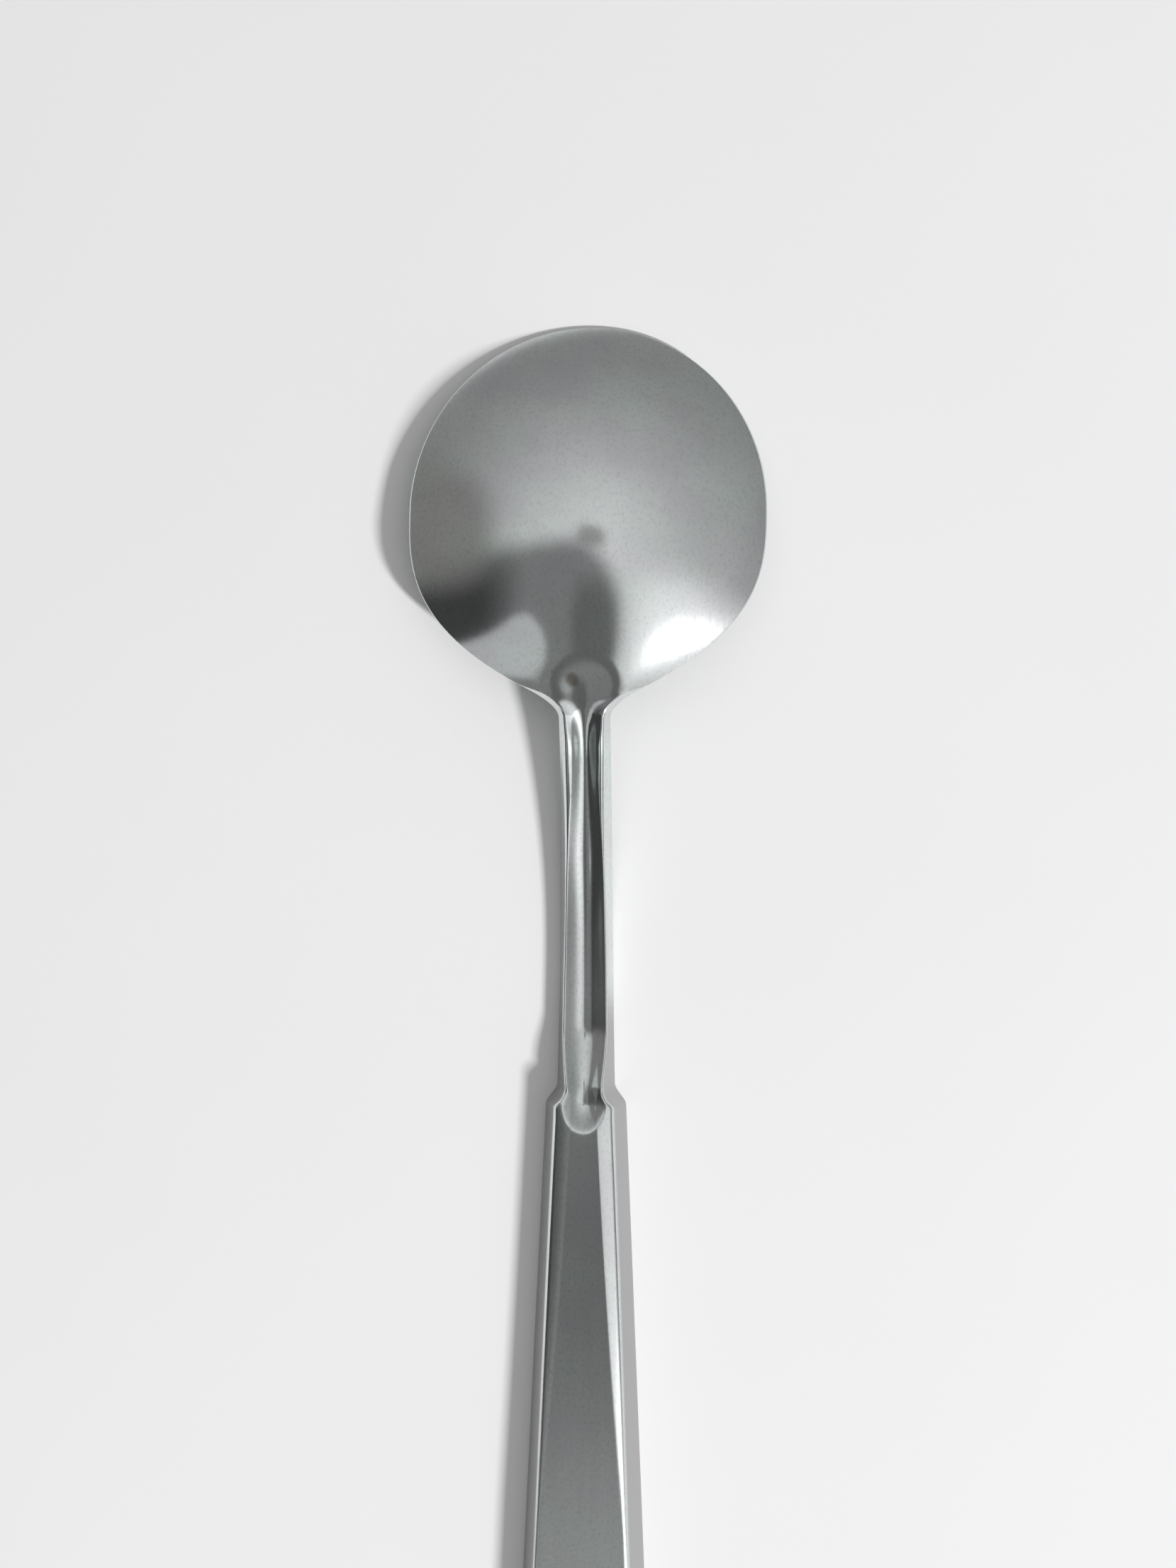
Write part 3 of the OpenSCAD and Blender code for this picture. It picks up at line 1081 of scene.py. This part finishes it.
@dataclass(frozen=True)
class SatinSteel:
    """Pressed stainless steel: satin, a little mottled, with hair lines, specks, a stain, and painted shade
    on the steep edges.

    The first four colours are shares of the steel's level. A step is where a pattern starts to show and
    where it shows fully. Lengths are in metres.
    """

    level: float = 0.84
    cool_colour: Triple = (0.95, 0.975, 0.985)
    green_colour: Triple = (0.90, 1.0, 0.95)
    cloud_colour: Triple = (0.85, 0.86, 0.88)
    speckle_colour: Triple = (0.72, 0.72, 0.72)
    tint: Grain = Grain(60.0, (1.0, 1.3, 1.0), turn=0.5, detail=3.0)
    tint_step: Step = (0.35, 0.65)
    cloud: Grain = Grain(110.0, detail=4.0)
    cloud_step: Step = (0.3, 0.75)
    cloud_roughness: float = 0.05
    speckle: Grain = Grain(2400.0, (1.0, 0.7, 1.0))
    speckle_step: Step = (0.45, 0.75)
    speckle_share: float = 0.5
    drawn: Grain = Grain(900.0, (1.0, 0.06, 1.0), detail=3.0)
    drawn_roughness: float = 0.04
    line_depth: float = 0.0000015
    fine: Grain = Grain(5200.0, (1.0, 0.35, 1.0))
    fine_depth: float = 0.0000008
    roughness: float = 0.12
    # Colour share on the steep edges: a painted shade for their dimmer reflection.
    edge_shade_level: float = 0.54
    edge_roughness: float = 0.34
    edge_facing: Step = (0.40, 0.62)
    edge_along: Step = (0.006, -0.004)
    wear: float = 0.22
    wear_along: Step = (-0.025, -0.085)
    stain: tuple[float, float] = (-0.0015, 0.0475)
    stain_radius: float = 0.0013
    stain_core: float = 0.4
    stain_share: float = 0.6
    stain_colour: Colour = (0.22, 0.15, 0.09, 1.0)
    speck_scale: float = 75.0
    speck_reach: float = 0.05
    speck_share: float = 0.8
    speck_colour: Colour = (0.05, 0.05, 0.05, 1.0)

    def make(self) -> bpy.types.Material:
        """Build the material on object coordinates.

        Returns:
            The material.
        """
        steel = bpy.data.materials.new("satin_steel")
        steel.use_nodes = True
        p = Pattern(steel.node_tree)
        shader = p.add("ShaderNodeBsdfPrincipled")
        shader.inputs["Metallic"].default_value = 1.0
        cloud, drawn = p.noise(self.cloud), p.noise(self.drawn)
        x, y, _ = p.parts(p.places())
        edge = self.rough_shaded_edge(p, y)
        # The steep edges get a darker colour, which is painted shade for their dimmer reflection. They are
        # also rougher.
        edge_shaded = p.blend(edge, self.mottled(p, cloud), grey(self.level * self.edge_shade_level))
        p.plug(self.marked(p, x, y, edge_shaded), shader.inputs["Base Color"])
        rough = mix(self.roughness, self.edge_roughness, edge) + ease(*self.wear_along, y) * self.wear
        rough = rough + about_middle(cloud, self.cloud_roughness) + about_middle(drawn, self.drawn_roughness)
        p.plug(rough, shader.inputs["Roughness"])
        bump = p.add("ShaderNodeBump")
        bump.inputs["Distance"].default_value = 1.0
        bump.inputs["Strength"].default_value = 1.0
        p.plug(p.noise(self.fine) * self.fine_depth + drawn * self.line_depth, bump.inputs["Height"])
        p.plug(bump.outputs[0], shader.inputs["Normal"])
        p.plug(shader.outputs[0], p.add("ShaderNodeOutputMaterial").inputs["Surface"])
        return steel

    def shade(self, shares: Triple) -> Colour:
        """A colour given as shares of the steel's level."""
        red, green, blue = shares
        return (self.level * red, self.level * green, self.level * blue, 1.0)

    def mottled(self, p: Pattern, cloud: Term) -> bpy.types.NodeSocket:
        """Colour of the steel, with its tints, clouds and speckle.

        Args:
            p: the material's pattern.
            cloud: the cloudy pattern.

        Returns:
            The socket that gives the colour.
        """
        tint = ease(*self.tint_step, p.noise(self.tint))
        tinted = p.blend(tint, self.shade(self.cool_colour), self.shade(self.green_colour))
        cloudy = p.blend(ease(*self.cloud_step, cloud), tinted, self.shade(self.cloud_colour))
        speckle = ease(*self.speckle_step, p.noise(self.speckle)) * self.speckle_share
        return p.blend(speckle, cloudy, self.shade(self.speckle_colour))

    def rough_shaded_edge(self, p: Pattern, y: Term) -> Term:
        """How much a place belongs to the handle's turned-down edges, which stand steeply. There the steel is
        rougher, and its darker colour is a painted shade for the dimmer reflection on those faces.

        Args:
            p: the material's pattern.
            y: the place along the spoon.

        Returns:
            1 on those edges and 0 elsewhere.
        """
        upwards = p.parts(p.add("ShaderNodeTexCoord").outputs["Normal"])[2]
        return (1.0 - ease(*self.edge_facing, size(upwards))) * ease(*self.edge_along, y)

    def marked(self, p: Pattern, x: Term, y: Term, colour: bpy.types.NodeSocket) -> bpy.types.NodeSocket:
        """Add the small brown stain in the scoop and a few dark specks to the colour.

        Args:
            p: the material's pattern.
            x: the place across the spoon.
            y: the place along it.
            colour: the steel's own colour.

        Returns:
            The socket that gives the marked colour.
        """
        off = span(x - self.stain[0], y - self.stain[1])
        stained = 1.0 - ease(self.stain_radius * self.stain_core, self.stain_radius, off)
        brown = p.blend(stained * self.stain_share, colour, self.stain_colour)
        specks = p.spots(self.speck_scale, self.speck_reach)
        return p.blend(specks * self.speck_share, brown, self.speck_colour)


@dataclass(frozen=True)
class TableTop:
    """The plain pale surface that the spoon lies on."""

    level: float = 0.83
    half: float = 1.5
    roughness: float = 0.9
    gloss: float = 0.1
    cloud: Grain = Grain(18.0, detail=3.0)
    cloud_share: float = 0.015

    def make(self) -> None:
        """Lay the surface with its material, as part of the stage."""
        h = self.half
        mesh = bpy.data.meshes.new("table_top")
        mesh.from_pydata([(-h, -h, 0), (h, -h, 0), (h, h, 0), (-h, h, 0)], [], [(0, 1, 2, 3)])
        table = bpy.data.objects.new("table_top", mesh)
        bpy.context.scene.collection.objects.link(table)
        paint = bpy.data.materials.new("pale_table")
        paint.use_nodes = True
        p = Pattern(paint.node_tree)
        shader = p.add("ShaderNodeBsdfPrincipled")
        shader.inputs["Roughness"].default_value = self.roughness
        shader.inputs["Specular IOR Level"].default_value = self.gloss
        dark, light = grey(self.level * (1 - self.cloud_share)), grey(self.level * (1 + self.cloud_share))
        p.plug(p.blend(p.noise(self.cloud), dark, light), shader.inputs["Base Color"])
        p.plug(shader.outputs[0], p.add("ShaderNodeOutputMaterial").inputs["Surface"])
        mesh.materials.append(paint)


# ---- Light and camera ---------------------------------------------------------------------


@dataclass(frozen=True)
class Patch:
    """A soft-edged patch of the surroundings, placed by the unit direction in which it is seen."""

    x: float
    y: float
    half_x: float
    half_y: float
    soft: float
    level: float
    warmth: float = 0.0
    share: float = 1.0
    power: float = 3.0
    turn: float = 0.0


@dataclass(frozen=True)
class Surroundings:
    """Soft daylight of a plain room, with the pale and dark shapes that the steel mirrors."""

    horizon: float = 0.24
    rise: float = 0.47
    rise_power: float = 1.5
    pale: float = 0.86
    patches: tuple[Patch, ...] = (
        Patch(-0.45, -0.45, 0.70, 0.55, 0.16, 0.21, 0.0),
        Patch(0.02, -0.55, 0.20, 0.38, 0.3, 0.13, 0.0),
        Patch(0.02, 0.12, 0.14, 0.07, 0.5, 0.30, 0.02),
        Patch(-0.95, -0.28, 0.30, 0.38, 0.5, 0.05, 0.0),
        Patch(-0.62, -0.53, 0.22, 0.15, 0.10, 0.52, -0.01, turn=0.75),
        Patch(-0.92, 0.26, 0.16, 0.32, 0.5, 0.21, 0.03, 0.9),
        Patch(0.59, -0.50, 0.27, 0.42, 0.5, 0.95, 0.0, 0.9, 2.0),
    )

    def make(self) -> None:
        """Build the world."""
        world = bpy.data.worlds.new("room")
        world.use_nodes = True
        bpy.context.scene.world = world
        p = Pattern(world.node_tree)
        x, y, z = p.parts(p.add("ShaderNodeTexCoord").outputs["Generated"])
        level = self.horizon + self.rise * most(z, 0.0) ** self.rise_power
        colour = p.blend(level, grey(0.0), grey(1.0))
        for patch in self.patches:
            colour = p.blend(self.mask(patch, x, y), colour, grey(patch.level, patch.warmth))
        seen = Term(p.tree, p.add("ShaderNodeLightPath").outputs["Is Camera Ray"])
        back = p.add("ShaderNodeBackground")
        p.plug(p.blend(seen, colour, grey(self.pale)), back.inputs["Color"])
        p.plug(back.outputs[0], p.add("ShaderNodeOutputWorld").inputs["Surface"])

    def mask(self, patch: Patch, x: Term, y: Term) -> Term:
        """How much of a patch is seen in a direction.

        Args:
            patch: the patch.
            x: the direction's share along X.
            y: its share along Y.

        Returns:
            The patch's share in what is seen.
        """
        dx, dy = x - patch.x, y - patch.y
        c, s = math.cos(patch.turn), math.sin(patch.turn)
        across, along = (dx * c + dy * s) / patch.half_x, (dy * c - dx * s) / patch.half_y
        reach = (size(across) ** patch.power + size(along) ** patch.power) ** (1.0 / patch.power)
        return (1.0 - ease(1.0 - patch.soft, 1.0 + patch.soft, reach)) * patch.share


@dataclass(frozen=True)
class WindowLight:
    """The soft key light, low on the right."""

    bearing: float = -40.0
    elevation: float = 34.5
    distance: float = 2.5
    size_x: float = 0.14
    size_y: float = 0.34
    watts: float = 64.0

    def make(self) -> None:
        """Place the light so that it faces the spoon."""
        lamp = bpy.data.lights.new("window", "AREA")
        lamp.shape = "RECTANGLE"
        lamp.size, lamp.size_y = self.size_x, self.size_y
        lamp.energy = self.watts
        b, e = math.radians(self.bearing), math.radians(self.elevation)
        way = Vector((math.cos(b) * math.cos(e), math.sin(b) * math.cos(e), math.sin(e)))
        light = bpy.data.objects.new("window", lamp)
        light.location = way * self.distance
        light.rotation_euler = way.to_track_quat("Z", "Y").to_euler()
        bpy.context.scene.collection.objects.link(light)


@dataclass(frozen=True)
class TopCamera:
    """Camera above the bowl and neck, tipped a little to the right, as the photograph was taken."""

    target: tuple[float, float, float] = (0.0, 0.03265, 0.0)
    distance: float = 0.300
    tip: float = 5.0
    turn: float = 0.3
    field_height: float = 0.2323
    sensor: float = 24.0
    nearest: float = 0.01

    def make(self) -> None:
        """Place the camera and make it the scene's own."""
        data = bpy.data.cameras.new("above")
        data.sensor_width = self.sensor
        data.lens = self.sensor * self.distance / self.field_height
        data.clip_start = self.nearest
        camera = bpy.data.objects.new("above", data)
        tip = math.radians(self.tip)
        away = Vector((math.sin(tip), 0.0, math.cos(tip)))
        camera.location = Vector(self.target) + away * self.distance
        camera.rotation_euler = (0.0, tip, math.radians(self.turn))
        bpy.context.scene.collection.objects.link(camera)
        bpy.context.scene.camera = camera


def main() -> None:
    """Build the spoon, the table, the light and the camera."""
    logging.basicConfig(level=logging.INFO, format="%(message)s")
    TopCamera().make()
    PressedSpoon().build(SatinSteel().make())
    TableTop().make()
    Surroundings().make()
    WindowLight().make()
    bpy.context.scene.view_settings.view_transform = "Standard"


if __name__ == "__main__":
    main()
